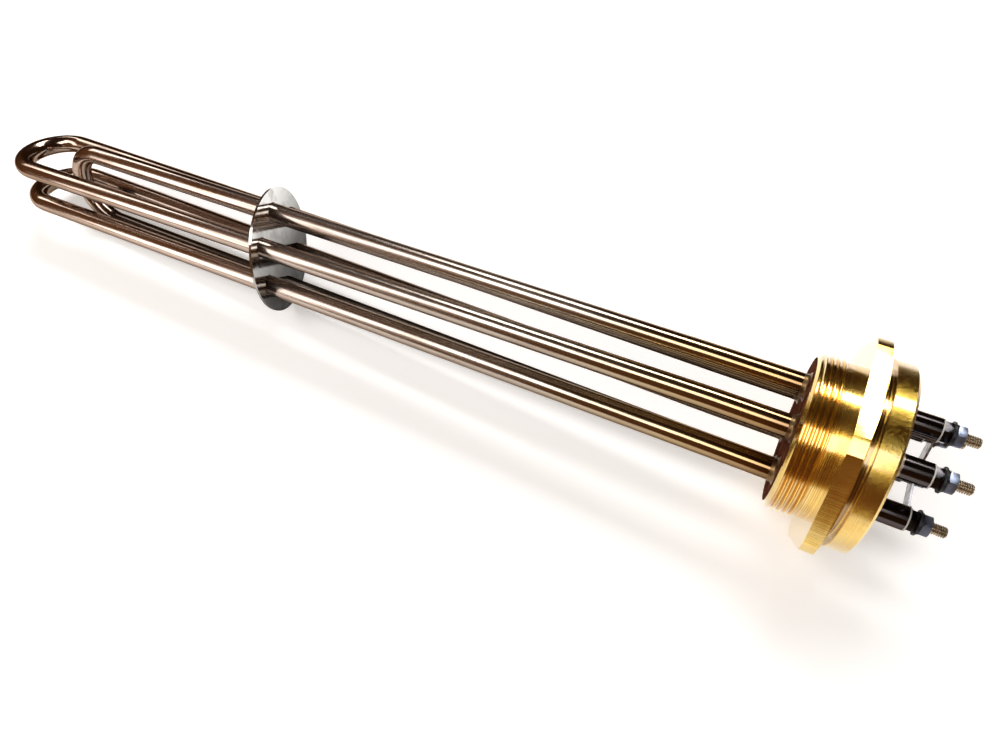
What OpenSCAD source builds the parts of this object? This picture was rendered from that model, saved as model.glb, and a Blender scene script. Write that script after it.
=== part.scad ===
// Screw plug immersion heater: a brass pipe plug that carries three hairpin heating elements.
// X runs along the heater's axis towards the terminals and Z is up. The origin lies on the
// axis, in the middle of the plug's thread. All sizes are in millimetres.

/* [Screw plug] */
// Outside diameter of the pipe thread
thread_d = 60; // [57:0.1:66]
// Length of the threaded part
thread_len = 9.8; // [6:0.2:30]
// Diameter of the front rim, where the thread's lead chamfer starts
rim_d = 54.8; // [50:0.1:56.5]
// Length of the lead chamfer
lead_len = 1.6; // [0.5:0.1:3]
// Diameter of the plain neck between the thread and the hexagon
neck_d = 58; // [55:0.1:60]
// Length of the plain neck
neck_len = 4.4; // [2:0.2:15]
// Hexagon across its flats
hex_af = 75; // [70:0.5:80]
// Diameter to which the hexagon's corners are turned
hex_turned_d = 83.2; // [81:0.1:86]
// Thickness of the hexagon
hex_t = 6; // [4:0.5:20]
// Depth of the rear chamfer at the hexagon's corners
hex_chamfer = 1.1; // [0.3:0.1:2.5]
// Diameter at the bottom of the groove behind the hexagon
groove_d = 63; // [54:0.5:67]
// Width of the groove
groove_w = 2.8; // [1:0.2:8]
// Diameter of the round collar
collar_d = 70; // [67:0.5:74]
// Length of the collar
collar_len = 7.4; // [4:0.2:25]
// Chamfer on the collar's rear edge
collar_chamfer = 0.9; // [0.3:0.1:2]

/* [Heating elements] */
// Diameter of the circle that the legs stand on at the plug
pitch_circle_d = 36; // [32:0.5:40]
// Outside diameter of the sheath tube
sheath_d = 8.5; // [7:0.1:9]
// Wall of the sheath tube
sheath_wall = 0.7; // [0.4:0.05:0.9]
// Distance from the sealing face to the outside of the upper hairpin's bend
upper_reach = 402; // [394:1:600]
// Distance from the sealing face to the outside of the lower hairpin's bend
lower_reach = 402; // [394:1:600]
// Distance from the sealing face to the outside of the cross hairpin's bend
cross_reach = 373; // [300:1:381]
// Turn of the bundle of legs for each 100 mm, in degrees
twist_per_100 = 4.4; // [0:0.1:6]
// Length of each sheath behind the collar
stub_len = 12.2; // [9:0.1:30]

/* [Support disc] */
// Distance from the sealing face to the middle of the disc
disc_x = 244; // [120:1:280]
// Diameter of the disc, which has to pass through the socket
disc_d = 56; // [52:0.5:57]
// Thickness of the disc
disc_t = 1; // [0.5:0.1:3]
// How far the disc leans on the legs, turned about the upright axis
disc_lean = 18; // [0:1:25]

/* [Terminals] */
// Diameter of the terminal studs
stud_d = 4; // [3.5:0.1:5]
// Length of stud that stands out of the outer nut
stud_free = 5.2; // [3:0.2:15]
// Chamfer on the stud's tip
stud_chamfer = 0.5; // [0.2:0.1:1]
// Nuts across their flats
nut_af = 7; // [6.5:0.1:8]
// Height of the nuts
nut_h = 2.8; // [2:0.1:5]
// How far inside the stud's outside radius a nut's thread meets it
thread_bite = 0.23; // [0.16:0.01:0.35]
// Outside diameter of the flat washers
washer_d = 9; // [8:0.1:10]
// Thickness of the flat washers
washer_t = 0.5; // [0.4:0.1:1.5]
// Outside diameter of the spring washers
spring_d = 7.6; // [7:0.1:8.4]
// Thickness of the spring washers
spring_t = 0.8; // [0.6:0.1:1.5]
// Width of the spring washer's split
spring_split = 0.8; // [0.3:0.1:1.5]
// Thickness of the bush flange that closes each sheath
flange_t = 0.5; // [0.3:0.1:2]
// Depth of the bush inside the sheath
bush_depth = 8; // [4:0.5:12]
// Width of the star link's strip
link_w = 6; // [5.5:0.5:8]
// Thickness of the star link
link_t = 0.8; // [0.5:0.1:1.5]

/* [Inside] */
// Diameter of the cold pin inside the sheath
pin_d = 3.1; // [2:0.1:3.4]
// Length of cold pin beyond the plug's wet face
cold_zone = 25; // [15:1:40]
// Thickness of the coil's sleeve of turns
coil_t = 0.7; // [0.3:0.05:0.9]
// Length of cold pin that the coil grips
coil_grip = 6; // [3:0.5:10]

/* [Fits] */
// Gap between a sheath and its hole in the plug, closed by braze
braze_gap = 0.1; // [0.05:0.01:0.2]
// Width of the braze fillet on the wet face
fillet_w = 1.1; // [0.6:0.1:2]
// Height of the braze fillet along the leg
fillet_h = 2.2; // [1:0.1:4]
// Gap between a leg and its hole in the disc
disc_gap = 0.2; // [0.1:0.05:0.4]
// Gap round the pieces packed inside a sheath
inner_gap = 0.05; // [0.02:0.01:0.08]
// Gap between a stud's thread and a nut's
stud_gap = 0.05; // [0.02:0.01:0.1]
// Gap between a stud and the washers
washer_gap = 0.15; // [0.1:0.05:0.3]
// Gap between a stud and the link's holes
link_gap = 0.25; // [0.1:0.05:0.5]

/* [Hidden] */
$fn = 64;

LEGS = [0:5];
// The pair of legs that each hairpin joins, counted round from the foremost one
UPPER = [0, 2];
LOWER = [5, 3];
CROSS = [1, 4];
// The rear legs, which the link joins to a star point
LINKED = [2, 3, 4];

// Radii
sheath_r = sheath_d / 2;
bore_r = sheath_r - sheath_wall;
pitch_r = pitch_circle_d / 2;
pin_r = pin_d / 2;
coil_in_r = pin_r + inner_gap;
coil_out_r = coil_in_r + coil_t;
stud_r = stud_d / 2;
grip_r = stud_r - thread_bite;
flange_r = sheath_r - inner_gap;
// Overrun of a cutting tool past the face it cuts
cut = 1;
// How much thinner the legs are drawn than the bends and ends, and how far they run into them
draw_step = 0.05;
joint_lap = 0.5;
nut_chamfer_angle = 30;
// Shares of a fillet's width and height where its cheek is hollowest
cheek = [0.3, 0.4];

// Stations along the axis
seal_x = (thread_len - lead_len) / 2 + neck_len;
neck_x = seal_x - neck_len;
wet_face_x = neck_x - thread_len;
collar_x = seal_x + hex_t + groove_w;
dry_face_x = collar_x + collar_len;
pin_inner_x = wet_face_x - cold_zone;
// Straight sheath between the pin's inner end and the leaning part of the leg
lean_margin = 4;
lean_x = pin_inner_x - lean_margin;
disc_mid_x = seal_x - disc_x;
sheath_end_x = dry_face_x + stub_len;
flange_end_x = sheath_end_x + flange_t;
link_x = flange_end_x + nut_h;
bush_inner_x = sheath_end_x - bush_depth;
coil_end_x = pin_inner_x + coil_grip;

function is_in(k, list) = len(search(k, list)) > 0;
function leg_angle(k) = 120 - 60 * k;
function ring_point(r, angle) = [r * cos(angle), r * sin(angle)];
function leg_root(k) = ring_point(pitch_r, leg_angle(k));
// A leg's hairpin, how far that reaches, and where its bend starts
function leg_pair(k) = is_in(k, UPPER) ? UPPER : is_in(k, LOWER) ? LOWER : CROSS;
function leg_reach(k) =
    is_in(k, UPPER) ? upper_reach : is_in(k, LOWER) ? lower_reach : cross_reach;
function bend_radius(pair) = norm(leg_root(pair[0]) - leg_root(pair[1])) / 2;
function bend_x(k) = seal_x - leg_reach(k) + sheath_r + bend_radius(leg_pair(k));
// Each leg leans from its place in the plug to its place at the bend, round the axis
function leg_turn(k) = twist_per_100 * (lean_x - bend_x(k)) / 100;
function leg_far(k) = ring_point(pitch_r, leg_angle(k) + leg_turn(k));
function leg_share(k, x) = (lean_x - x) / (lean_x - bend_x(k));
function leg_at(k, x) = leg_root(k) + (leg_far(k) - leg_root(k)) * leg_share(k, x);
function leg_point(k, x) = [x, leg_at(k, x)[0], leg_at(k, x)[1]];

// Stations of a terminal's stack beyond its lower nut, where the rear ones carry the link
function washer_x(k) = link_x + (is_in(k, LINKED) ? link_t : 0);
function spring_x(k) = washer_x(k) + washer_t;
function upper_nut_x(k) = spring_x(k) + spring_t;
function free_x(k) = upper_nut_x(k) + nut_h;
function stud_end(k) = free_x(k) + stud_free;

// A profile of [radius, station] points turned about the heater's axis
module turned(profile) {
    rotate([0, 90, 0])
        rotate_extrude()
            polygon(profile);
}

// A plain rod along X between two stations
module rod(r, x0, x1) {
    translate([x0, 0, 0])
        rotate([0, 90, 0])
            cylinder(h = x1 - x0, r = r);
}

// What is drawn on the axis, moved to a leg's place in the plug
module on_leg(k) {
    root = leg_root(k);
    translate([0, root[0], root[1]])
        children();
}

// A plain rod between two points
module bar(r, from, to) {
    run = to - from;
    translate(from)
        rotate([0, acos(run[2] / norm(run)), atan2(run[1], run[0])])
            cylinder(h = norm(run), r = r);
}

// A round bar along a whole hairpin: straight ends, leaning legs, drawn a hair thinner,
// and the bend. Both legs stop at the station end_x.
module hairpin_path(r, pair, end_x) {
    far_a = leg_far(pair[0]);
    far_b = leg_far(pair[1]);
    middle = (far_a + far_b) / 2;
    chord = far_a - far_b;
    start_x = bend_x(pair[0]);
    for (k = pair) {
        on_leg(k)
            rod(r, lean_x, end_x);
        bar(r - draw_step, leg_point(k, lean_x + joint_lap), leg_point(k, start_x - joint_lap));
    }
    translate([start_x, middle[0], middle[1]])
        rotate([atan2(chord[1], chord[0]), 0, 0])
            rotate([0, 0, 90])
                rotate_extrude(angle = 180)
                    translate([norm(chord) / 2, 0])
                        circle(r);
}

module sheath(pair) {
    difference() {
        hairpin_path(sheath_r, pair, sheath_end_x);
        hairpin_path(bore_r, pair, sheath_end_x + cut);
    }
}

// Pressed powder that fills a sheath round its coil and cold pins
module powder(pair) {
    difference() {
        hairpin_path(bore_r - inner_gap, pair, bush_inner_x);
        difference() {
            hairpin_path(coil_out_r + inner_gap, pair, coil_end_x + inner_gap);
            hairpin_path(coil_in_r - inner_gap, pair, coil_end_x + cut);
        }
        for (k = pair)
            on_leg(k)
                rod(pin_r + inner_gap, pin_inner_x - inner_gap, bush_inner_x + cut);
    }
}

// The coil's close turns, as one sleeve that grips the cold pins
module coil(pair) {
    difference() {
        hairpin_path(coil_out_r, pair, coil_end_x);
        hairpin_path(coil_in_r, pair, coil_end_x + cut);
    }
}

module screw_plug() {
    color("goldenrod")
        difference() {
            union() {
                turned([
                    [0, wet_face_x],
                    [rim_d / 2, wet_face_x],
                    [thread_d / 2, wet_face_x + lead_len],
                    [thread_d / 2, neck_x],
                    [neck_d / 2, neck_x],
                    [neck_d / 2, seal_x],
                    [groove_d / 2, seal_x],
                    [groove_d / 2, collar_x],
                    [collar_d / 2, collar_x],
                    [collar_d / 2, dry_face_x - collar_chamfer],
                    [collar_d / 2 - collar_chamfer, dry_face_x],
                    [0, dry_face_x]
                ]);
                translate([seal_x, 0, 0])
                    plug_hexagon();
            }
            for (k = LEGS)
                on_leg(k)
                    rod(sheath_r + braze_gap, wet_face_x - cut, dry_face_x + cut);
        }
}

// Hexagon from station 0 with a flat below, its corners turned and its rear edge chamfered
module plug_hexagon() {
    intersection() {
        rotate([0, 90, 0])
            rotate([0, 0, 30])
                cylinder(h = hex_t, d = hex_af / cos(30), $fn = 6);
        turned([
            [0, 0],
            [hex_turned_d / 2, 0],
            [hex_turned_d / 2, hex_t - hex_chamfer],
            [hex_af / 2, hex_t],
            [0, hex_t]
        ]);
    }
}

// Disc that hangs askew on the legs, with a hole along each of them
module support_disc() {
    half_span = disc_d / 2 * sin(disc_lean) + disc_t + cut;
    color("silver")
        difference() {
            translate([disc_mid_x, 0, 0])
                rotate([0, 0, disc_lean])
                    rod(disc_d / 2, -disc_t / 2, disc_t / 2);
            for (k = LEGS)
                bar(
                    sheath_r + disc_gap,
                    leg_point(k, disc_mid_x + half_span),
                    leg_point(k, disc_mid_x - half_span)
                );
        }
}

// A hollow-cheeked fillet of filler metal round each leg on the wet face
module braze_rings() {
    inner_r = sheath_r + inner_gap;
    color("peru")
        for (k = LEGS)
            on_leg(k)
                turned([
                    [inner_r, wet_face_x],
                    [inner_r + fillet_w, wet_face_x],
                    [inner_r + fillet_w * cheek[0], wet_face_x - fillet_h * cheek[1]],
                    [inner_r, wet_face_x - fillet_h]
                ]);
}

// Cold pin and threaded stud in one piece; inside the nuts the thread is drawn at its middle depth
module terminal_pin(k) {
    color("darkkhaki")
        on_leg(k)
            turned([
                [0, pin_inner_x],
                [pin_r, pin_inner_x],
                [pin_r, flange_end_x],
                [grip_r, flange_end_x],
                [grip_r, free_x(k)],
                [stud_r, free_x(k)],
                [stud_r, stud_end(k) - stud_chamfer],
                [stud_r - stud_chamfer, stud_end(k)],
                [0, stud_end(k)]
            ]);
}

// Ceramic bush that closes a sheath, with a thin flange on the sheath's end
module end_bush(k) {
    body_r = bore_r - inner_gap;
    hole_r = pin_r + inner_gap;
    color("gainsboro")
        on_leg(k)
            turned([
                [hole_r, bush_inner_x],
                [body_r, bush_inner_x],
                [body_r, sheath_end_x],
                [flange_r, sheath_end_x],
                [flange_r, flange_end_x],
                [hole_r, flange_end_x]
            ]);
}

// Flat strip that joins the rear studs
module star_link() {
    color("lightslategray")
        translate([link_x, 0, 0])
            rotate([90, 0, 90])
                linear_extrude(link_t)
                    difference() {
                        union() {
                            for (k = LINKED)
                                translate(leg_root(k))
                                    circle(link_w / 2);
                            for (i = [1:len(LINKED) - 1])
                                link_bar(leg_root(LINKED[i - 1]), leg_root(LINKED[i]));
                        }
                        for (k = LINKED)
                            translate(leg_root(k))
                                circle(stud_r + link_gap);
                    }
}

module link_bar(from, to) {
    run = to - from;
    translate(from)
        rotate(atan2(run[1], run[0]))
            translate([0, -link_w / 2])
                square([norm(run), link_w]);
}

// Hexagon nut from station 0, chamfered on both faces
module nut() {
    corner_r = nut_af / 2 / cos(30);
    chamfer = (corner_r - nut_af / 2) * tan(nut_chamfer_angle);
    difference() {
        intersection() {
            rotate([0, 90, 0])
                cylinder(h = nut_h, r = corner_r, $fn = 6);
            turned([
                [0, 0],
                [nut_af / 2, 0],
                [corner_r, chamfer],
                [corner_r, nut_h - chamfer],
                [nut_af / 2, nut_h],
                [0, nut_h]
            ]);
        }
        rod(grip_r + stud_gap, -cut, nut_h + cut);
    }
}

module lower_nuts() {
    color("dimgray")
        for (k = LEGS)
            on_leg(k)
                translate([flange_end_x, 0, 0])
                    nut();
}

module upper_nuts() {
    color("lightsteelblue")
        for (k = LEGS)
            on_leg(k)
                translate([upper_nut_x(k), 0, 0])
                    nut();
}

module flat_washers() {
    color("darkslategray")
        for (k = LEGS)
            on_leg(k)
                difference() {
                    rod(washer_d / 2, washer_x(k), spring_x(k));
                    rod(stud_r + washer_gap, washer_x(k) - cut, spring_x(k) + cut);
                }
}

// Spring washers, each split on the side that faces outwards
module spring_washers() {
    color("dimgray")
        for (k = LEGS)
            on_leg(k)
                difference() {
                    rod(spring_d / 2, spring_x(k), upper_nut_x(k));
                    rod(stud_r + washer_gap, spring_x(k) - cut, upper_nut_x(k) + cut);
                    rotate([leg_angle(k), 0, 0])
                        translate([spring_x(k) - cut, 0, -spring_split / 2])
                            cube([spring_t + 2 * cut, spring_d, spring_split]);
                }
}

module upper_hairpin() { color("rosybrown") sheath(UPPER); }
module lower_hairpin() { color("rosybrown") sheath(LOWER); }
module cross_hairpin() { color("rosybrown") sheath(CROSS); }
module upper_powder() { color("white") powder(UPPER); }
module lower_powder() { color("white") powder(LOWER); }
module cross_powder() { color("white") powder(CROSS); }
module upper_coil() { color("gray") coil(UPPER); }
module lower_coil() { color("gray") coil(LOWER); }
module cross_coil() { color("gray") coil(CROSS); }

screw_plug();
support_disc();
braze_rings();
upper_hairpin();
lower_hairpin();
cross_hairpin();
upper_powder();
lower_powder();
cross_powder();
upper_coil();
lower_coil();
cross_coil();
terminal_pin(0);  // terminal_pin_1
terminal_pin(1);  // terminal_pin_2
terminal_pin(2);  // terminal_pin_3
terminal_pin(3);  // terminal_pin_4
terminal_pin(4);  // terminal_pin_5
terminal_pin(5);  // terminal_pin_6
end_bush(0);  // end_bush_1
end_bush(1);  // end_bush_2
end_bush(2);  // end_bush_3
end_bush(3);  // end_bush_4
end_bush(4);  // end_bush_5
end_bush(5);  // end_bush_6
star_link();
lower_nuts();
flat_washers();
spring_washers();
upper_nuts();
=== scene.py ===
"""Looks of the screw plug immersion heater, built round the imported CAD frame, in metres."""

import math

import bmesh
import bpy
from mathutils import Euler, Matrix, Vector


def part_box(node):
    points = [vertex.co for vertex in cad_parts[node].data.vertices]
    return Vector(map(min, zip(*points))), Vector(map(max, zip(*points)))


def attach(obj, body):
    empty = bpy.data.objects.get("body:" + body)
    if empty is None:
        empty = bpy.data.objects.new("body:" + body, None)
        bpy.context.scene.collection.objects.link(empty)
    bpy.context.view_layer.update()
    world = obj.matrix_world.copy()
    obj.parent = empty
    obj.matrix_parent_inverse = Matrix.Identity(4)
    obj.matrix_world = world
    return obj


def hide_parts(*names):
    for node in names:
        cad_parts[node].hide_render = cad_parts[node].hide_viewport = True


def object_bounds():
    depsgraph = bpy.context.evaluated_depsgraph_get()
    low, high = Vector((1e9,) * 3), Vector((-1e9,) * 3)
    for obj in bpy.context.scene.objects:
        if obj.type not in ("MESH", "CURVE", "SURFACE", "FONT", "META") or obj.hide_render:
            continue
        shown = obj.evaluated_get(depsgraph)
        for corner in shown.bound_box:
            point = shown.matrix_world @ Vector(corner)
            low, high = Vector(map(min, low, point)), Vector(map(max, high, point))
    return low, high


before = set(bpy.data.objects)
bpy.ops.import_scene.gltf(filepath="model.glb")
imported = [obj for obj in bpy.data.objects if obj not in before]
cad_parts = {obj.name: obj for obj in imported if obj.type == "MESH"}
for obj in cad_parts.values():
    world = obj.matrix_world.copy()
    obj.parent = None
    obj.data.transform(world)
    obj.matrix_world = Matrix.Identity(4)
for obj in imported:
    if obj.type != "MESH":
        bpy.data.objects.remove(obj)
cad_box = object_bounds()

MM = 0.001
TURN = 2 * math.pi
LEG_COUNT = 6
HEX_SIDES = 6

# Screw plug
THREAD_R = 30 * MM
THREAD_PITCH = 2 * MM
THREAD_LEN = 9.8 * MM
RIM_R = 27.4 * MM
LEAD_LEN = 1.6 * MM
NECK_R = 29 * MM
NECK_LEN = 4.4 * MM
HEX_AF = 75 * MM
HEX_TURNED_R = 41.6 * MM
HEX_T = 6 * MM
HEX_CHAMFER = 1.1 * MM
GROOVE_R = 31.5 * MM
GROOVE_W = 2.8 * MM
COLLAR_R = 35 * MM
COLLAR_CHAMFER = 0.9 * MM
EDGE = 0.2 * MM  # broken edges of the turned pieces
BRAZE_GAP = 0.1 * MM
WET_BAND = 0.1 * MM  # depth of the burnt band behind the wet face
DRILL_PAST = 1 * MM  # how far a drill reaches past the faces it cuts

# Heating elements
DISC_R = 28 * MM
SHEATH_R = 4.25 * MM
SHEATH_WALL = 0.7 * MM
LEAN_MARGIN = 4 * MM
TWIST = math.radians(4.4) / (100 * MM)
HAIRPINS = {"upper_hairpin": (0, 2), "lower_hairpin": (5, 3), "cross_hairpin": (1, 4)}
FILLET_W = 1.1 * MM
FILLET_H = 2.2 * MM
FILLET_LUMP = 0.12 * MM
INNER_GAP = 0.05 * MM

# Terminals
STUD_R = 2 * MM
STUD_PITCH = 0.7 * MM
STUD_CHAMFER = 0.5 * MM
PIN_R = 1.55 * MM
FLANGE_T = 0.5 * MM
NUT_AF = 7 * MM
NUT_HEIGHT = 2.8 * MM
NUT_EDGE = 0.12 * MM
NUT_HOLE_R = 1.82 * MM
NUT_CHAMFER_ANGLE = math.radians(30)

# An ISO thread's depth and the shares of its pitch, from the start of the crest
THREAD_DEPTH_SHARE = 0.6134
CREST_SHARE = 1 / 8
FLANK_SHARE = 5 / 16
ROOT_SHARE = 1 / 4

# Facets of each kind of piece
PLUG_SIDES = 256
TUBE_SIDES = 40
STUD_SIDES = 40
NUT_SIDES = 64
BEND_STEPS = 36
LEG_STEPS = 14
FILLET_STEPS = 7

# Angles past which an edge stays sharp, in degrees
PLUG_SHARP = 18
NUT_SHARP = 20
STUD_SHARP = 25
TUBE_SHARP = 40
FILLET_SHARP = 50

# Limits for cleaning and bevelling the meshes
WELD = 1e-7
SLIVER = 1e-8
BEVEL_ANGLE = math.radians(15)
BEVEL_SEGMENTS = 2

# Places read from the frame
plug_lo, plug_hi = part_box("screw_plug")
WET_FACE_X = plug_lo.x
DRY_FACE_X = plug_hi.x
NECK_X = WET_FACE_X + THREAD_LEN
SEAL_X = NECK_X + NECK_LEN
HEX_END_X = SEAL_X + HEX_T
COLLAR_X = HEX_END_X + GROOVE_W
PINS = [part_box(f"terminal_pin_{n}") for n in range(1, LEG_COUNT + 1)]
FLANGE_ENDS = [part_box(f"end_bush_{n}")[1].x for n in range(1, LEG_COUNT + 1)]
LEG_ROOTS = [Vector((0, (lo.y + hi.y) / 2, (lo.z + hi.z) / 2)) for lo, hi in PINS]
LEAN_X = PINS[0][0].x - LEAN_MARGIN


# Mesh helpers


def weld(bm):
    """Joins the vertices that meet and removes faces without area."""
    bmesh.ops.remove_doubles(bm, verts=bm.verts, dist=WELD)
    bmesh.ops.dissolve_degenerate(bm, edges=bm.edges, dist=SLIVER)


def piece(name, bm, material, node, sharp):
    """Turns a bmesh into a piece that takes a node's place, smooth but for its sharp edges."""
    weld(bm)
    bmesh.ops.recalc_face_normals(bm, faces=bm.faces)
    mesh = bpy.data.meshes.new(name)
    bm.to_mesh(mesh)
    bm.free()
    mesh.polygons.foreach_set("use_smooth", [True] * len(mesh.polygons))
    mesh.set_sharp_from_angle(angle=math.radians(sharp))
    mesh.materials.append(material)
    obj = bpy.data.objects.new(name, mesh)
    bpy.context.scene.collection.objects.link(obj)
    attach(obj, "root")
    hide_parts(node)
    return obj


def polar(x, r, angle):
    """The point at a station, a radius and an angle about the X axis."""
    return Vector((x, r * math.cos(angle), r * math.sin(angle)))


def ring(bm, x, r, sides, centre=Vector()):
    """A ring of vertices about the X axis, or one vertex on it."""
    if r <= 0:
        return [bm.verts.new(centre + Vector((x, 0, 0)))]
    return [bm.verts.new(centre + polar(x, r, TURN * i / sides)) for i in range(sides)]


def bridge(bm, a, b):
    """Faces between two rings; either may be a single vertex."""
    count = max(len(a), len(b))
    for i in range(count):
        j = (i + 1) % count
        corners = [a[i % len(a)], a[j % len(a)], b[j % len(b)], b[i % len(b)]]
        bm.faces.new(list(dict.fromkeys(corners)))


def lathe(bm, profile, sides, centre=Vector()):
    """Turns a profile of (station, radius) points about an axis along X."""
    rings = [ring(bm, x, r, sides, centre) for x, r in profile]
    for a, b in zip(rings, rings[1:]):
        bridge(bm, a, b)
    return rings


def thread_radius(phase, crest_r, pitch):
    """Radius of an ISO thread at a phase of its pitch, from the start of its crest."""
    depth = THREAD_DEPTH_SHARE * pitch
    phase %= 1
    if phase <= CREST_SHARE:
        return crest_r
    phase -= CREST_SHARE
    if phase <= FLANK_SHARE:
        return crest_r - depth * phase / FLANK_SHARE
    phase -= FLANK_SHARE
    if phase <= ROOT_SHARE:
        return crest_r - depth
    phase -= ROOT_SHARE
    return crest_r - depth * (1 - phase / FLANK_SHARE)


def threaded(bm, x0, x1, crest_r, pitch, limit, sides, centre=Vector()):
    """A right-handed thread from x0 to x1; limit(x) caps its radius. Returns its end rings."""
    half = FLANK_SHARE / 2
    phases = [0, CREST_SHARE, CREST_SHARE + half, CREST_SHARE + FLANK_SHARE]
    phases += [1 - FLANK_SHARE, 1 - half]
    turns = math.ceil((x1 - x0) / pitch) + 1
    starts = [(t - 1 + p) * pitch for t in range(turns + 1) for p in phases]
    rows = []
    for start in starts:
        row = []
        for i in range(sides):
            share = i / sides
            x = min(max(x0 + start + pitch * share, x0), x1)
            r = min(thread_radius((x - x0) / pitch - share, crest_r, pitch), limit(x))
            row.append(bm.verts.new(centre + polar(x, r, TURN * share)))
        rows.append(row)
    last = len(rows) - 1
    for j in range(last):
        for i in range(sides):
            over = i + 1 == sides
            n = (i + 1) % sides
            near = min(j + len(phases), last) if over else j
            far = min(j + 1 + len(phases), last) if over else j + 1
            corners = [rows[j][i], rows[near][n], rows[far][n], rows[j + 1][i]]
            if len(set(corners)) > 2:
                bm.faces.new(list(dict.fromkeys(corners)))
    return rows[0], rows[-1]


def hexagon(af, x0, x1, turned_profile, sides, edge):
    """A hexagon with a flat below, cut to a turned profile, with its edges broken."""
    prism = bmesh.new()
    back = ring(prism, x0, af / math.sqrt(3), HEX_SIDES)
    front = ring(prism, x1, af / math.sqrt(3), HEX_SIDES)
    prism.faces.new(back[::-1])
    prism.faces.new(front)
    bridge(prism, back, front)
    limit = bmesh.new()
    lathe(limit, turned_profile, sides)
    cut = combined(prism, limit, "INTERSECT")
    sharp = [e for e in cut.edges if e.is_manifold and e.calc_face_angle(0) > BEVEL_ANGLE]
    bmesh.ops.bevel(
        cut,
        geom=sharp,
        offset=edge,
        segments=BEVEL_SEGMENTS,
        profile=0.5,
        affect="EDGES",
        clamp_overlap=True,
    )
    return cut


def combined(a, b, operation):
    """The boolean of two closed bmeshes, which it uses up."""
    objects = []
    for bm in (a, b):
        bmesh.ops.recalc_face_normals(bm, faces=bm.faces)
        mesh = bpy.data.meshes.new("scratch")
        bm.to_mesh(mesh)
        bm.free()
        objects.append(bpy.data.objects.new("scratch", mesh))
        bpy.context.scene.collection.objects.link(objects[-1])
    step = objects[0].modifiers.new("cut", "BOOLEAN")
    step.operation = operation
    step.object = objects[1]
    step.solver = "EXACT"
    graph = bpy.context.evaluated_depsgraph_get()
    result = bmesh.new()
    result.from_mesh(objects[0].evaluated_get(graph).to_mesh())
    for obj in objects:
        mesh = obj.data
        bpy.data.objects.remove(obj)
        bpy.data.meshes.remove(mesh)
    return result


def sweep(bm, path, r, sides):
    """Skins a round tube along a path of points. Returns its end rings."""
    rings = []
    normal = Vector((0, 0, 1))
    for i, point in enumerate(path):
        ahead = path[min(i + 1, len(path) - 1)] - path[max(i - 1, 0)]
        tangent = ahead.normalized()
        normal = (normal - tangent * normal.dot(tangent)).normalized()
        side = tangent.cross(normal)
        rings.append([
            bm.verts.new(point + (normal * math.cos(a) + side * math.sin(a)) * r)
            for a in (TURN * k / sides for k in range(sides))
        ])
    for a, b in zip(rings, rings[1:]):
        bridge(bm, a, b)
    return rings[0], rings[-1]


# Material helpers

NOISE_ROUGHNESS = 0.55


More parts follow.
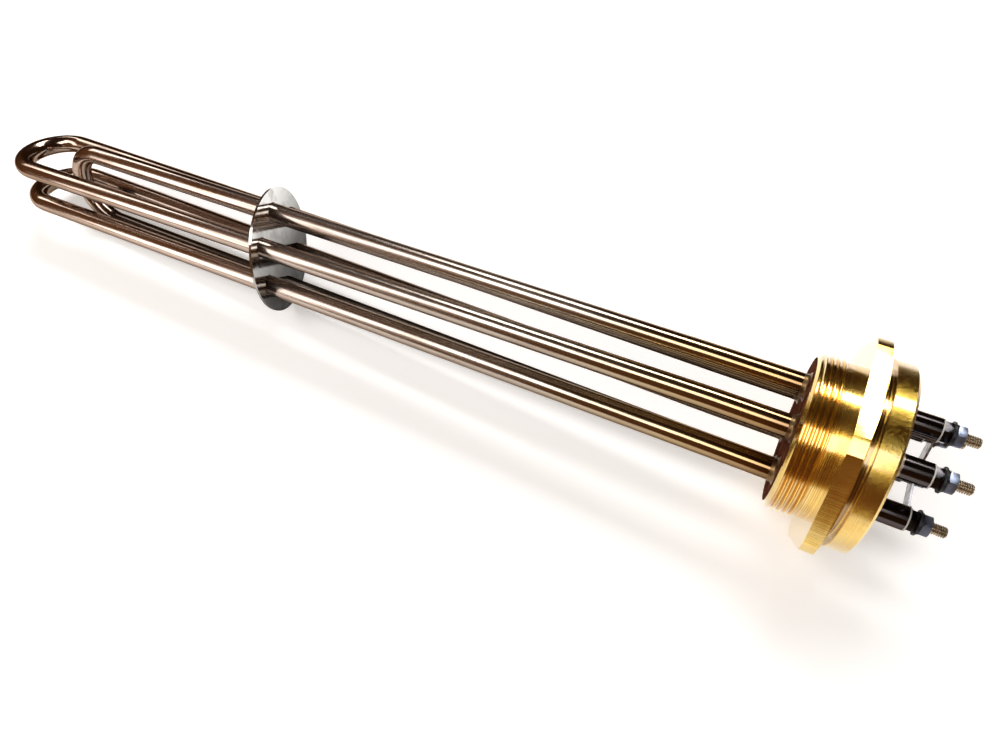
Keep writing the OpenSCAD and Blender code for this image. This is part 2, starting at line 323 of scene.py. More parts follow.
class Shader:
    """A material's node tree, with short calls to add nodes to it."""

    def __init__(self, name, color, metallic, roughness):
        self.material = bpy.data.materials.new(name)
        self.material.use_nodes = True
        self.tree = self.material.node_tree
        self.bsdf = self.tree.nodes["Principled BSDF"]
        self.bsdf.inputs["Base Color"].default_value = (*color, 1)
        self.bsdf.inputs["Metallic"].default_value = metallic
        self.bsdf.inputs["Roughness"].default_value = roughness
        coordinates = self.add("TexCoord").outputs
        self.place, self.normal = coordinates["Object"], coordinates["Normal"]

    def add(self, kind, *inputs, **settings):
        """A node whose inputs are sockets or values, in order; None leaves one as it is."""
        node = self.tree.nodes.new("ShaderNode" + kind)
        for key, value in settings.items():
            setattr(node, key, value)
        for slot, value in zip(node.inputs, inputs):
            self.feed(slot, value)
        return node

    def feed(self, slot, value):
        """Links a socket to the slot, or sets a plain value on it."""
        if isinstance(value, bpy.types.NodeSocket):
            self.tree.links.new(value, slot)
        elif value is not None:
            slot.default_value = value

    def set(self, name, value):
        self.feed(self.bsdf.inputs[name], value)

    def math(self, operation, a, b=None):
        return self.add("Math", a, b, operation=operation).outputs[0]

    def length(self, a, b):
        squares = [self.math("MULTIPLY", v, v) for v in (a, b)]
        return self.math("SQRT", self.math("ADD", *squares))

    def blend(self, fac, a, b):
        return self.add("Mix", fac, None, a, b, data_type="FLOAT").outputs[0]

    def parts(self, vector=None):
        return self.add("SeparateXYZ", vector or self.place).outputs

    def stretched(self, x, y, z):
        """The place with each axis scaled, for grain that runs along the part."""
        return self.add("VectorMath", self.place, (x, y, z), operation="MULTIPLY").outputs[0]

    def noise(self, vector, scale, detail):
        node = self.add("TexNoise")
        self.feed(node.inputs["Vector"], vector)
        node.inputs["Scale"].default_value = scale
        node.inputs["Detail"].default_value = detail
        node.inputs["Roughness"].default_value = NOISE_ROUGHNESS
        return node.outputs["Fac"]

    def lines(self, value, scale, detail):
        """Noise along a single value, which draws lines across its way."""
        node = self.add("TexNoise", noise_dimensions="1D")
        self.feed(node.inputs["W"], value)
        node.inputs["Scale"].default_value = scale
        node.inputs["Detail"].default_value = detail
        return node.outputs["Fac"]

    def ramp(self, fac, *stops):
        """A colour ramp of (position, colour) stops."""
        node = self.add("ValToRGB", fac)
        while len(node.color_ramp.elements) < len(stops):
            node.color_ramp.elements.new(0.5)
        for element, (at, color) in zip(node.color_ramp.elements, stops):
            element.position = at
            element.color = (*color, 1)
        return node.outputs["Color"]

    def span(self, value, low, high, out_low=0.0, out_high=1.0):
        """The value mapped smoothly from one range to another."""
        node = self.add("MapRange", value, low, high, out_low, out_high)
        node.interpolation_type = "SMOOTHSTEP"
        return node.outputs[0]

    def mix(self, fac, a, b):
        """One colour turned to another by a share."""
        node = self.add("Mix", data_type="RGBA")
        self.feed(node.inputs["Factor"], fac)
        for key, value in (("A", a), ("B", b)):
            slot = next(s for s in node.inputs if s.name == key and s.type == "RGBA")
            self.feed(slot, (*value, 1) if isinstance(value, tuple) else value)
        return next(s for s in node.outputs if s.type == "RGBA")

    def stained_or_shaded(self, color, mask, stain_or_shade, most):
        """The colour with a stain or a painted shade over it where the mask is, at most by a share."""
        return self.mix(self.math("MULTIPLY", mask, most), color, stain_or_shade)

    def bump(self, height, distance):
        node = self.add("Bump")
        node.inputs["Distance"].default_value = distance
        self.feed(node.inputs["Height"], height)
        self.set("Normal", node.outputs["Normal"])


def turned_rings(shader, scale):
    """Tool marks as rings on the turned faces and cylinders, and each point's radius."""
    x, y, z = shader.parts()
    radius = shader.length(y, z)
    facing = shader.math("ABSOLUTE", shader.parts(shader.normal)[0])
    along = shader.math("ADD", x, shader.math("MULTIPLY", radius, facing))
    return shader.lines(along, scale, 4), radius


# Brass
BRASS_AMBER = (0.79, 0.50, 0.07)
BRASS_GOLD = (0.88, 0.61, 0.11)
BRASS_PALE = (0.94, 0.70, 0.20)
TOOL_MARK = (0.60, 0.33, 0.06)
GROOVE_SHADE = (0.16, 0.07, 0.02)
THREAD_ROOT_DARK = (0.42, 0.15, 0.02)
NECK_CUT = (0.34, 0.14, 0.02)
COLLAR_SPECK = (0.46, 0.20, 0.03)
TOOL_MARK_DEPTH = 0.02 * MM
FLATS_R = (36 * MM, 37 * MM)
ROOTS_R = (THREAD_R - 0.3 * MM, THREAD_R - 1.1 * MM)
GROOVE_FADE = 2 * MM
COLLAR_FADE = 0.5 * MM


def brass_material():
    """Turned brass: drawn lines on the hexagon's flats, cuts on the neck, specks on the collar."""
    shader = Shader("bright_brass", BRASS_GOLD, metallic=1, roughness=0.2)
    shader.set("Coat Weight", 1.0)
    shader.set("Coat Roughness", 0.1)
    shader.set("Coat IOR", 1.8)
    x = shader.parts()[0]
    rings, radius = turned_rings(shader, 2600)
    past_lead = shader.span(x, WET_FACE_X + LEAD_LEN / 2, WET_FACE_X + LEAD_LEN)
    past_thread = shader.span(x, NECK_X - EDGE, NECK_X + EDGE)
    before_hex = shader.span(x, SEAL_X, SEAL_X - EDGE)
    past_hex = shader.span(x, HEX_END_X - EDGE, HEX_END_X + EDGE)
    on_collar = shader.span(x, COLLAR_X - COLLAR_FADE, COLLAR_X)
    on_flats = shader.span(radius, *FLATS_R)
    drawn = shader.noise(shader.stretched(20, 2200, 2200), scale=1, detail=3)
    marks = shader.blend(on_flats, rings, drawn)
    patches = shader.noise(shader.place, scale=90, detail=4)
    color = shader.ramp(patches, (0.3, BRASS_AMBER), (0.5, BRASS_GOLD), (0.72, BRASS_PALE))
    color = shader.mix(shader.span(marks, 0.4, 0.7, 0.0, 0.3), color, TOOL_MARK)
    between = shader.math("SUBTRACT", past_hex, on_collar)
    deep = shader.span(radius, GROOVE_R + GROOVE_FADE, GROOVE_R)
    in_groove = shader.math("MULTIPLY", between, deep)
    color = shader.stained_or_shaded(color, in_groove, GROOVE_SHADE, 0.8)
    on_thread = shader.math("SUBTRACT", past_lead, past_thread)
    # Darker in the thread's roots.
    in_roots = shader.math("MULTIPLY", shader.span(radius, *ROOTS_R), on_thread)
    color = shader.stained_or_shaded(color, in_roots, THREAD_ROOT_DARK, 0.5)
    on_neck = shader.math("MULTIPLY", past_thread, before_hex)
    cuts = shader.lines(x, scale=1500, detail=2)
    cut = shader.math("MULTIPLY", shader.span(cuts, 0.4, 0.65), on_neck)
    color = shader.stained_or_shaded(color, cut, NECK_CUT, 0.6)
    specks = shader.noise(shader.place, scale=3000, detail=2)
    speck = shader.math("MULTIPLY", shader.span(specks, 0.42, 0.68), on_collar)
    color = shader.stained_or_shaded(color, speck, COLLAR_SPECK, 0.4)
    shader.set("Base Color", color)
    shader.set("Roughness", shader.span(marks, 0.3, 0.75, 0.13, 0.26))
    height = shader.math("ADD", marks, shader.math("MULTIPLY", speck, 0.9))
    height = shader.math("ADD", height, shader.math("MULTIPLY", cut, 2.0))
    shader.bump(height, TOOL_MARK_DEPTH)
    return shader.material


# Burnt wet face
BURNT_LIGHT = (0.17, 0.06, 0.03)
BURNT_MIDDLE = (0.10, 0.04, 0.022)
BURNT_DARK = (0.06, 0.018, 0.01)
SOOT_DEPTH = 0.05 * MM


def burnt_material():
    """The wet face, browned by the brazing flame."""
    shader = Shader("burnt_brass", BURNT_MIDDLE, metallic=0, roughness=0.7)
    shader.set("Specular IOR Level", 0)
    soot = shader.noise(shader.place, scale=220, detail=4)
    shader.set("Base Color", shader.mix(shader.span(soot, 0.35, 0.65), BURNT_LIGHT, BURNT_DARK))
    shader.set("Roughness", shader.span(soot, 0.3, 0.7, 0.55, 0.8))
    shader.bump(soot, SOOT_DEPTH)
    return shader.material


# Sheaths: the heat tint runs from the bends to the plug
SHEATH_PLAIN = (0.62, 0.56, 0.51)
SHEATH_EDGE = (0.5, 0.42, 0.36, 1)
HEAT_TINT = (
    (0.0, (0.48, 0.36, 0.28)),
    (0.2, (0.58, 0.46, 0.39)),
    (0.45, (0.54, 0.45, 0.39)),
    (0.75, (0.46, 0.40, 0.33)),
    (0.88, (0.42, 0.31, 0.17)),
    (0.97, (0.34, 0.21, 0.09)),
)
STREAK_BROWN = (0.24, 0.16, 0.11)
STAIN_BROWN = (0.30, 0.21, 0.15)
SCORCH_BROWN = (0.15, 0.085, 0.045)
# Colours of painted shade: the tubes' lower sides, the rear legs' lower sides near the plug, and the
# lowest legs.
UNDERSIDE_SHADE = (0.12, 0.085, 0.06)
REAR_UNDERSIDE_SHADE = (0.04, 0.025, 0.015)
LOW_LEG_SHADE = (0.04, 0.032, 0.026)
DRY_SIDE_DARK = (0.08, 0.07, 0.07)
PASTE_CREAM = (0.62, 0.50, 0.36)
STREAK_DEPTH = 0.008 * MM
TINT_DRIFT = 60 * MM
SCORCH_X = (WET_FACE_X - 12 * MM, WET_FACE_X - 2 * MM)
REAR_SHADE_X = (WET_FACE_X - 130 * MM, WET_FACE_X - 40 * MM)
REAR_SHADE_Y = (0, 12 * MM)
LOW_LEG_Z = (-8 * MM, -13 * MM)
DRY_SIDE_X = (DRY_FACE_X - 1 * MM, DRY_FACE_X)
PASTE_X = (DRY_FACE_X + 3.6 * MM, DRY_FACE_X + 2.8 * MM)
PASTE_R = (1.4 * SHEATH_R, 1.2 * SHEATH_R)


def lead_paste(shader, dry_side):
    """Where spare paste sits: round the foremost leg's root, on the dry side."""
    x, y, z = shader.parts()
    lead = LEG_ROOTS[0]
    off = shader.length(shader.math("SUBTRACT", y, lead.y), shader.math("SUBTRACT", z, lead.z))
    at_root = shader.math("MULTIPLY", shader.span(x, *PASTE_X), dry_side)
    return shader.math("MULTIPLY", shader.span(off, *PASTE_R), at_root)


def sheath_material():
    """Bright tube with a heat tint: brown at the bends, rose, grey, then gold at the plug."""
    shader = Shader("tinted_sheath", SHEATH_PLAIN, metallic=1, roughness=0.15)
    shader.set("Specular Tint", SHEATH_EDGE)
    x, y, z = shader.parts()
    waves = shader.noise(shader.stretched(8, 60, 60), scale=1, detail=3)
    drift = shader.math("MULTIPLY", shader.math("SUBTRACT", waves, 0.5), TINT_DRIFT)
    along = shader.math("ADD", x, drift)
    share = shader.add("MapRange", along, cad_box[0].x, WET_FACE_X).outputs[0]
    color = shader.ramp(share, *HEAT_TINT)
    streaks = shader.noise(shader.stretched(30, 1400, 1400), scale=1, detail=5)
    color = shader.mix(shader.span(streaks, 0.45, 0.72, 0.0, 0.6), color, STREAK_BROWN)
    stains = shader.noise(shader.stretched(40, 160, 160), scale=1, detail=4)
    color = shader.mix(shader.span(stains, 0.56, 0.75, 0.0, 0.5), color, STAIN_BROWN)
    color = shader.stained_or_shaded(color, shader.span(x, *SCORCH_X), SCORCH_BROWN, 0.6)
    # Painted shade: the tubes' lower sides, darkened by their normals.
    below = shader.span(shader.parts(shader.normal)[2], 0.45, -0.1)
    color = shader.stained_or_shaded(color, below, UNDERSIDE_SHADE, 0.5)
    # Painted shade: the rear legs' lower sides, 40 to 130 mm before the plug, darkened nearly to
    # black.
    rear_shaded = shader.math("MULTIPLY", shader.span(along, *REAR_SHADE_X), shader.span(y, *REAR_SHADE_Y))
    color = shader.stained_or_shaded(color, rear_shaded, REAR_UNDERSIDE_SHADE, below)
    # Painted shade: the lowest legs, darkened where the legs above shade them.
    color = shader.mix(shader.span(z, *LOW_LEG_Z, 0.0, 0.85), color, LOW_LEG_SHADE)
    dry_side = shader.span(x, *DRY_SIDE_X)
    color = shader.mix(dry_side, color, DRY_SIDE_DARK)
    paste = lead_paste(shader, dry_side)
    color = shader.mix(paste, color, PASTE_CREAM)
    shader.set("Base Color", color)
    dull = shader.math("MULTIPLY", shader.span(share, 0.25, 0.45), shader.span(share, 0.9, 0.65))
    streaked = shader.span(streaks, 0.35, 0.75, 0.04, 0.14)
    rough = shader.math("ADD", shader.span(dull, 0, 1, 0.06, 0.16), streaked)
    shader.set("Roughness", shader.math("ADD", rough, shader.math("MULTIPLY", paste, 0.4)))
    shader.bump(streaks, STREAK_DEPTH)
    return shader.material


# Support disc: its colour runs from its lower edge to its upper edge, as painted shade and reflection,
# nearly black below
DISC_PLAIN = (0.70, 0.70, 0.69)
DISC_HEIGHT_SHADE = (
    (0.14, (0.008, 0.0075, 0.007)),
    (0.36, (0.08, 0.077, 0.074)),
    (0.62, (0.36, 0.36, 0.35)),
    (0.9, (0.70, 0.70, 0.69)),
)
DISC_PATCH = (0.10, 0.095, 0.09)
DISC_WAVE_DEPTH = 0.06 * MM


def disc_material():
    """Polished plate, with painted shade that makes it nearly black at its lower edge, with dull
    patches and fine scratches.
    """
    shader = Shader("polished_disc", DISC_PLAIN, metallic=1, roughness=0.1)
    scratches = shader.noise(shader.stretched(200, 3000, 300), scale=1, detail=4)
    patches = shader.noise(shader.place, scale=150, detail=3)
    height = shader.add("MapRange", shader.parts()[2], -DISC_R, DISC_R).outputs[0]
    # Painted shade and reflection: darker towards the lower edge.
    height_shade = shader.ramp(height, *DISC_HEIGHT_SHADE)
    shader.set("Base Color", shader.mix(shader.span(patches, 0.45, 0.7, 0.0, 0.4), height_shade, DISC_PATCH))
    shader.set("Roughness", shader.span(scratches, 0.35, 0.7, 0.06, 0.18))
    waves = shader.math("ADD", shader.math("MULTIPLY", scratches, 0.15), patches)
    shader.bump(waves, DISC_WAVE_DEPTH)
    return shader.material


# Other metals and powders
GRAIN_DEPTH = 0.015 * MM
POWDER_DEPTH = 0.05 * MM


def worn_metal(name, color, dark, roughness, grain=400, wear=0.5, metallic=1.0):
    """Metal whose colour and gloss vary in fine grain and small patches."""
    shader = Shader(name, color, metallic, roughness)
    fine = shader.noise(shader.place, grain, detail=5)
    patches = shader.noise(shader.place, grain / 6, detail=3)
    shade = shader.mix(shader.span(patches, 0.42, 0.68, 0.0, wear), color, dark)
    shader.set("Base Color", shader.mix(shader.span(fine, 0.5, 0.75, 0.0, wear * 0.6), shade, dark))
    shader.set("Roughness", shader.span(fine, 0.3, 0.75, roughness * 0.7, roughness * 1.5))
    shader.bump(fine, GRAIN_DEPTH)
    return shader.material


def powder_material(name, color):
    """Pressed or fired powder with a fine, matt grain."""
    shader = Shader(name, color, metallic=0, roughness=0.8)
    grains = shader.noise(shader.place, scale=2500, detail=4)
    deep = tuple(0.8 * c for c in color)
    shader.set("Base Color", shader.mix(shader.span(grains, 0.4, 0.7), color, deep))
    shader.set("Roughness", shader.span(grains, 0.3, 0.7, 0.65, 0.9))
    shader.bump(grains, POWDER_DEPTH)
    return shader.material


BRASS = brass_material()
BURNT = burnt_material()
SHEATH = sheath_material()
DISC = disc_material()
BRAZE = worn_metal("braze", (0.20, 0.12, 0.055), (0.06, 0.032, 0.016), 0.38, grain=500, wear=0.8)
STUD = worn_metal("stud_thread", (0.55, 0.46, 0.33), (0.26, 0.20, 0.14), 0.3, grain=900, wear=0.6)
BUSH = powder_material("bush_ceramic", (0.66, 0.63, 0.58))
MAGNESIA = powder_material("magnesia", (0.92, 0.91, 0.88))
COIL = worn_metal("coil_wire", (0.45, 0.45, 0.46), (0.25, 0.25, 0.26), 0.35)
LINK = worn_metal("link_plate", (0.42, 0.42, 0.45), (0.22, 0.22, 0.24), 0.28)
DARK_NUT = worn_metal("dark_nut", (0.05, 0.047, 0.05), (0.025, 0.024, 0.025), 0.2)
BLACK_WASHER = worn_metal(
    "black_washer", (0.045, 0.045, 0.05), (0.02, 0.02, 0.022), 0.4, grain=500, metallic=0.6
)
ZINC_NUT = worn_metal("zinc_nut", (0.22, 0.25, 0.33), (0.13, 0.15, 0.20), 0.42)


# Pieces


def plug_body():
    """The turned body: thread, neck, groove and collar, with a step inside the hexagon."""
    body = bmesh.new()

    def lead_limit(x):
        return RIM_R + (THREAD_R - RIM_R) * (x - WET_FACE_X) / LEAD_LEN

    first, last = threaded(body, WET_FACE_X, NECK_X, THREAD_R, THREAD_PITCH, lead_limit, PLUG_SIDES)
    body.faces.new(first)
    step_x = SEAL_X + HEX_T / 2
    profile = [
        (NECK_X + EDGE, NECK_R),
        (step_x, NECK_R),
        (step_x, GROOVE_R),
        (COLLAR_X, GROOVE_R),
        (COLLAR_X, COLLAR_R - EDGE),
        (COLLAR_X + EDGE, COLLAR_R),
        (DRY_FACE_X - COLLAR_CHAMFER, COLLAR_R),
        (DRY_FACE_X, COLLAR_R - COLLAR_CHAMFER),
    ]
    rings = lathe(body, profile, PLUG_SIDES)
    bridge(body, last, rings[0])
    body.faces.new(rings[-1])
    weld(body)
    return body


def plug_hexagon():
    """The thin hexagon, with its corners turned and a chamfer on its dry side."""
    turned = [
        (SEAL_X - EDGE, 0),
        (SEAL_X - EDGE, HEX_TURNED_R),
        (HEX_END_X - HEX_CHAMFER, HEX_TURNED_R),
        (HEX_END_X, HEX_AF / 2),
        (HEX_END_X + EDGE, HEX_AF / 2 - EDGE),
        (HEX_END_X + EDGE, 0),
    ]
    return hexagon(HEX_AF, SEAL_X, HEX_END_X, turned, PLUG_SIDES, EDGE)


def leg_drills():
    """The drills for the six legs, right through the plug."""
    drills = bmesh.new()
    start, end = WET_FACE_X - DRILL_PAST, DRY_FACE_X + DRILL_PAST
    drill_r = SHEATH_R + BRAZE_GAP
    for root in LEG_ROOTS:
        lathe(drills, [(start, 0), (start, drill_r), (end, drill_r), (end, 0)], TUBE_SIDES, root)
    return drills


def make_plug():
    """The plug: its body joined to the hexagon and drilled, with a burnt wet face."""
    solid = combined(plug_body(), plug_hexagon(), "UNION")
    solid = combined(solid, leg_drills(), "DIFFERENCE")
    plug = piece("plug_body", solid, BRASS, "screw_plug", PLUG_SHARP)
    plug.data.materials.append(BURNT)
    for face in plug.data.polygons:
        if face.center.x < WET_FACE_X + WET_BAND:
            face.material_index = 1


def hairpin_path(node, pair):
    """Centre line of a hairpin: straight ends, leaning legs and a half-round bend."""
    a, b = pair
    bend_r = (LEG_ROOTS[a] - LEG_ROOTS[b]).length / 2
    bend_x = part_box(node)[0].x + SHEATH_R + bend_r
    lean = Matrix.Rotation(TWIST * (LEAN_X - bend_x), 3, "X")
    start = Vector((bend_x, 0, 0))
    far_a, far_b = lean @ LEG_ROOTS[a] + start, lean @ LEG_ROOTS[b] + start

    def leg(k, far):
        end_x = FLANGE_ENDS[k] - FLANGE_T
        points = [LEG_ROOTS[k] + Vector((x, 0, 0)) for x in (end_x, WET_FACE_X, LEAN_X)]
        return points + [points[-1].lerp(far, i / LEG_STEPS) for i in range(1, LEG_STEPS)]

    middle, arm = (far_a + far_b) / 2, (far_a - far_b) / 2
    bend = [
        middle + arm * math.cos(t) - Vector((bend_r * math.sin(t), 0, 0))
        for t in (math.pi * i / BEND_STEPS for i in range(BEND_STEPS + 1))
    ]
    return leg(a, far_a) + bend + leg(b, far_b)[::-1]


def make_hairpins():
    """The three sheaths, each a bent tube with an open bore."""
    for node, pair in HAIRPINS.items():
        path = hairpin_path(node, pair)
        bm = bmesh.new()
        outer = sweep(bm, path, SHEATH_R, TUBE_SIDES)
        inner = sweep(bm, path, SHEATH_R - SHEATH_WALL, TUBE_SIDES)
        for a, b in zip(outer, inner):
            bridge(bm, a, b)
        piece(node.replace("hairpin", "sheath"), bm, SHEATH, node, TUBE_SHARP)


def make_braze():
    """A hollow-cheeked, slightly lumpy fillet round each leg."""
    bm = bmesh.new()
    inner_r = SHEATH_R + INNER_GAP
    for k, root in enumerate(LEG_ROOTS):
        rows = []
        for s in range(FILLET_STEPS + 1):
            left = 1 - s / FILLET_STEPS
            row = []
            for i in range(TUBE_SIDES):
                a = TURN * i / TUBE_SIDES
                lump = FILLET_LUMP * (math.sin(2 * a + k) + math.sin(3 * a + 2 * k)) * left
                r = inner_r + (FILLET_W + lump) * left ** 2
                x = WET_FACE_X - (FILLET_H + 2 * lump) * (1 - math.sqrt(left))
                row.append(bm.verts.new(root + polar(x, r, a)))
            rows.append(row)
        base = ring(bm, WET_FACE_X, inner_r, TUBE_SIDES, root)
        for a, b in zip([base] + rows, rows + [base]):
            bridge(bm, a, b)
    piece("braze_fillets", bm, BRAZE, "braze_rings", FILLET_SHARP)


def make_pins():
    """Terminal pins: a plain cold pin and a threaded stud."""
    for n, (lo, hi) in enumerate(PINS):
        bm = bmesh.new()
        root, shoulder = LEG_ROOTS[n], FLANGE_ENDS[n]

        def tip_limit(x, end=hi.x):
            return STUD_R - STUD_CHAMFER + (end - x)

        first, last = threaded(bm, shoulder, hi.x, STUD_R, STUD_PITCH, tip_limit, STUD_SIDES, root)
        rings = lathe(bm, [(lo.x, 0), (lo.x, PIN_R), (shoulder, PIN_R)], STUD_SIDES, root)
        bridge(bm, rings[-1], first)
        bm.faces.new(last)
        piece(f"stud_{n + 1}", bm, STUD, f"terminal_pin_{n + 1}", STUD_SHARP)


def nut_stations(node):
    """Where each nut of a node starts, read from the node's vertices near each leg."""
    found = {}
    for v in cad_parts[node].data.vertices:
        k = min(range(LEG_COUNT), key=lambda i: (v.co.yz - LEG_ROOTS[i].yz).length)
        found[k] = min(found.get(k, math.inf), v.co.x)
    return found


def drilled_nut():
    """One hexagon nut from station 0, chamfered on both faces, as a mesh."""
    corner_r = NUT_AF / math.sqrt(3)
    chamfer = (corner_r - NUT_AF / 2) * math.tan(NUT_CHAMFER_ANGLE)
    turned = [
        (-EDGE, 0),
        (0, NUT_AF / 2),
        (chamfer, corner_r),
        (NUT_HEIGHT - chamfer, corner_r),
        (NUT_HEIGHT, NUT_AF / 2),
        (NUT_HEIGHT + EDGE, 0),
    ]
    blank = hexagon(NUT_AF, 0, NUT_HEIGHT, turned, NUT_SIDES, NUT_EDGE)
    drill = bmesh.new()
    start, end = -DRILL_PAST, NUT_HEIGHT + DRILL_PAST
    lathe(drill, [(start, 0), (start, NUT_HOLE_R), (end, NUT_HOLE_R), (end, 0)], STUD_SIDES)
    nut = combined(blank, drill, "DIFFERENCE")
    mesh = bpy.data.meshes.new("scratch")
    nut.to_mesh(mesh)
    nut.free()
    return mesh


def make_nuts(node, material):
    """Nuts at the places of a node's solids."""
    nut = drilled_nut()
    bm = bmesh.new()
    for k, x in sorted(nut_stations(node).items()):
        before = len(bm.verts)
        bm.from_mesh(nut)
        bm.verts.ensure_lookup_table()
        bmesh.ops.translate(bm, vec=LEG_ROOTS[k] + Vector((x, 0, 0)), verts=bm.verts[before:])
    bpy.data.meshes.remove(nut)
    piece(node.replace("nuts", "hexagons"), bm, material, node, NUT_SHARP)


def dress(node, material):
    """Gives a CAD node a procedural material."""
    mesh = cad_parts[node].data
    mesh.materials.clear()
    mesh.materials.append(material)


make_plug()
make_hairpins()
make_braze()
make_pins()
make_nuts("lower_nuts", DARK_NUT)
make_nuts("upper_nuts", ZINC_NUT)
dress("support_disc", DISC)
dress("star_link", LINK)
dress("flat_washers", BLACK_WASHER)
dress("spring_washers", BLACK_WASHER)
for name in ("upper", "lower", "cross"):
    dress(f"{name}_powder", MAGNESIA)
    dress(f"{name}_coil", COIL)
for n in range(1, LEG_COUNT + 1):
    dress(f"end_bush_{n}", BUSH)


# Floor: a white table with a soft edge, given as distances from the scene's middle
FLOOR_SIZE = 12.0
FLOOR_COLOR = (0.88, 0.87, 0.86)
FLOOR_ROUGHNESS = 0.6
FLOOR_SPECULAR = 0.2
GLOW_COLOR = (1, 0.97, 0.93, 1)
FLOOR_GLOW = 0.4
FAR_GLOW = 1.1
TABLE_EDGE = (0.28, 0.5)
HEX_CONTACT = Vector((SEAL_X, 0, plug_lo.z))
SCENE_MIDDLE = Vector((-0.16, 0, 0))

# Room that the metal mirrors: dark, and lighter the nearer a direction is to the light way
ROOM_COLOR = (1, 0.44, 0.16, 1)
WHITE = (1, 1, 1, 1)
DARK_SIDE = 0.03
LIGHT_SIDE = 0.15
LIGHT_WAY = (-0.7, -0.7, 0)
LIGHT_RANGE = (0.1, 0.6)
LIGHT_FLOOR = 0.24
LIGHT_FLOOR_Y = (-0.3, 0.1)

# Lamps: azimuth and elevation in degrees, width and height in metres, and watts
SOFTBOX_DISTANCE = 1.4
SOFTBOXES = {
    "near_softbox": (-96, 60, (1.1, 0.55), 8.2),
    "far_softbox": (93, 53, (1.1, 0.34), 13),
    "side_window": (-137, 34, (0.45, 1.9), 8.2),
    "end_window": (165, 32, (0.7, 0.16), 1.2),
}

# Camera fitted to the photo: lens and sensor in millimetres, turn in degrees
CAMERA_LENS = 25.785
CAMERA_SENSOR = 36
CAMERA_CLIP = 10 * MM
CAMERA_PLACE = Vector((-27.62, -149.97, 235.27)) * MM
CAMERA_TURN = (32.976, 4.498, 26.410)


def floor_slope():
    """The floor's pitch, so that the hexagon and the lowest thing beyond the plug rest on it."""
    slopes = []
    for node in ("support_disc", *HAIRPINS):
        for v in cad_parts[node].data.vertices:
            if v.co.x < WET_FACE_X:
                slopes.append(math.atan2(v.co.z - HEX_CONTACT.z, HEX_CONTACT.x - v.co.x))
    return min(slopes)


def mixed(tree, fac, a, b):
    """The output of a mix of two shaders."""
    node = tree.nodes.new("ShaderNodeMixShader")
    for slot, output in zip(node.inputs, (fac, a, b)):
        tree.links.new(output, slot)
    return node.outputs[0]


def floor_material():
    """Lifted to white for the camera and, up to the table's edge, for mirrors; the room past it."""
    shader = Shader("pale_floor", FLOOR_COLOR, metallic=0, roughness=FLOOR_ROUGHNESS)
    shader.set("Specular IOR Level", FLOOR_SPECULAR)
    tree = shader.tree
    x, y, _ = shader.parts()
    off = shader.length(shader.math("SUBTRACT", x, SCENE_MIDDLE.x), y)
    level = shader.span(off, *TABLE_EDGE, FLOOR_GLOW, FAR_GLOW)
    glow = shader.add("Emission", GLOW_COLOR, level).outputs[0]
    lifted = shader.add("AddShader", shader.bsdf.outputs[0], glow).outputs[0]
    room_level = shader.span(y, *LIGHT_FLOOR_Y, LIGHT_FLOOR, DARK_SIDE)
    room = shader.add("Emission", ROOM_COLOR, room_level).outputs[0]
    mirrored = mixed(tree, shader.span(off, *TABLE_EDGE), lifted, room)
    path = shader.add("LightPath").outputs
    sharp = shader.math("MAXIMUM", path["Is Glossy Ray"], path["Is Transmission Ray"])
    surface = mixed(tree, sharp, shader.bsdf.outputs[0], mirrored)
    surface = mixed(tree, path["Is Camera Ray"], surface, lifted)
    tree.links.new(surface, tree.nodes["Material Output"].inputs["Surface"])
    return shader.material


def make_floor():
    """The table that the heater rests on, which takes its shadow."""
    bm = bmesh.new()
    bmesh.ops.create_grid(bm, x_segments=1, y_segments=1, size=FLOOR_SIZE / 2)
    mesh = bpy.data.meshes.new("floor")
    bm.to_mesh(mesh)
    bm.free()
    mesh.materials.append(floor_material())
    floor = bpy.data.objects.new("floor", mesh)
    bpy.context.scene.collection.objects.link(floor)
    floor.location = HEX_CONTACT
    floor.rotation_euler = Euler((0, floor_slope(), 0))


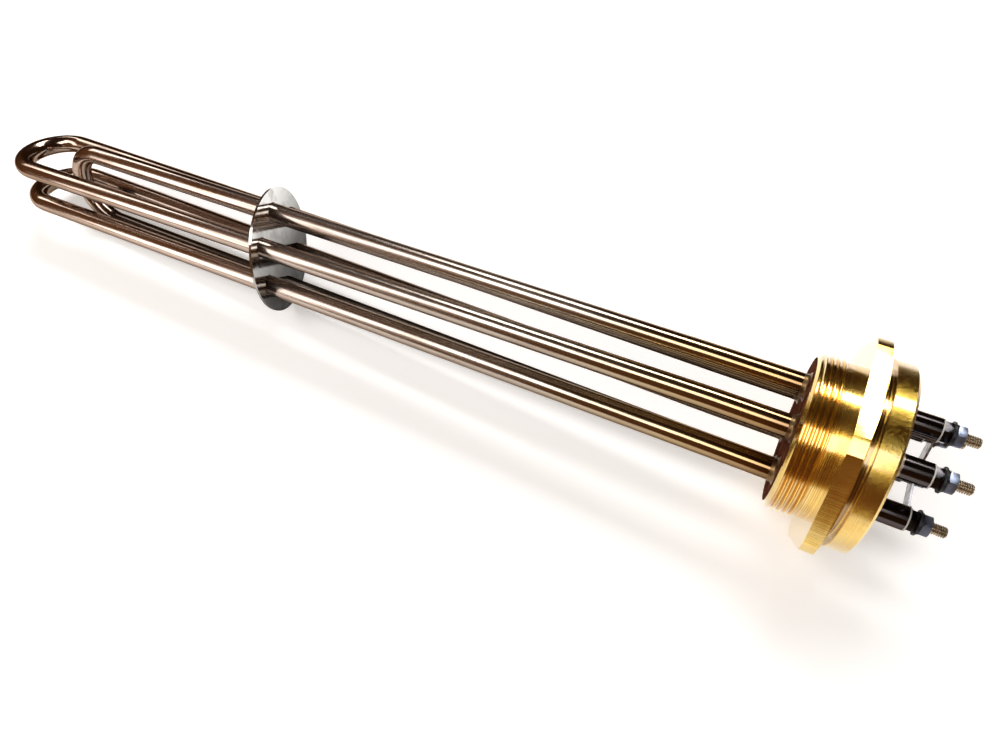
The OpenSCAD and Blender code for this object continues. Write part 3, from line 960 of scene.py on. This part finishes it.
def make_world():
    """A dark, warm room, lighter on the camera's side, that the metal mirrors; white to the camera."""
    world = bpy.data.worlds.new("room")
    bpy.context.scene.world = world
    world.use_nodes = True
    tree = world.node_tree
    views = []
    for color, level in ((ROOM_COLOR, DARK_SIDE), (ROOM_COLOR, LIGHT_SIDE), (WHITE, 1)):
        view = tree.nodes.new("ShaderNodeBackground")
        view.inputs["Color"].default_value = color
        view.inputs["Strength"].default_value = level
        views.append(view.outputs[0])
    dark, light, white = views
    facing = tree.nodes.new("ShaderNodeVectorMath")
    facing.operation = "DOT_PRODUCT"
    tree.links.new(tree.nodes.new("ShaderNodeTexCoord").outputs["Generated"], facing.inputs[0])
    facing.inputs[1].default_value = LIGHT_WAY
    share = tree.nodes.new("ShaderNodeMapRange")
    tree.links.new(facing.outputs["Value"], share.inputs["Value"])
    share.inputs["From Min"].default_value = LIGHT_RANGE[0]
    share.inputs["From Max"].default_value = LIGHT_RANGE[1]
    room = mixed(tree, share.outputs[0], dark, light)
    path = tree.nodes.new("ShaderNodeLightPath")
    surface = mixed(tree, path.outputs["Is Camera Ray"], room, white)
    tree.links.new(surface, tree.nodes["World Output"].inputs["Surface"])


def add_softbox(name, azimuth, elevation, size, watts):
    """A rectangular lamp that hangs in a direction from the heater's middle and faces it."""
    lamp = bpy.data.lights.new(name, "AREA")
    lamp.shape = "RECTANGLE"
    lamp.size, lamp.size_y = size
    lamp.energy = watts
    obj = bpy.data.objects.new(name, lamp)
    bpy.context.scene.collection.objects.link(obj)
    turn, rise = math.radians(azimuth), math.radians(elevation)
    flat = math.cos(rise)
    away = Vector((flat * math.cos(turn), flat * math.sin(turn), math.sin(rise)))
    obj.location = SCENE_MIDDLE + away * SOFTBOX_DISTANCE
    obj.rotation_euler = (-away).to_track_quat("-Z", "Y").to_euler()


def make_camera():
    """The photo's camera, close above the plug's end."""
    data = bpy.data.cameras.new("camera")
    data.sensor_width = CAMERA_SENSOR
    data.lens = CAMERA_LENS
    data.clip_start = CAMERA_CLIP
    camera = bpy.data.objects.new("camera", data)
    bpy.context.scene.collection.objects.link(camera)
    camera.location = CAMERA_PLACE
    camera.rotation_euler = Euler([math.radians(a) for a in CAMERA_TURN])
    bpy.context.scene.camera = camera


make_floor()
make_world()
for name, settings in SOFTBOXES.items():
    add_softbox(name, *settings)
make_camera()

bpy.context.scene.view_settings.view_transform = "Standard"
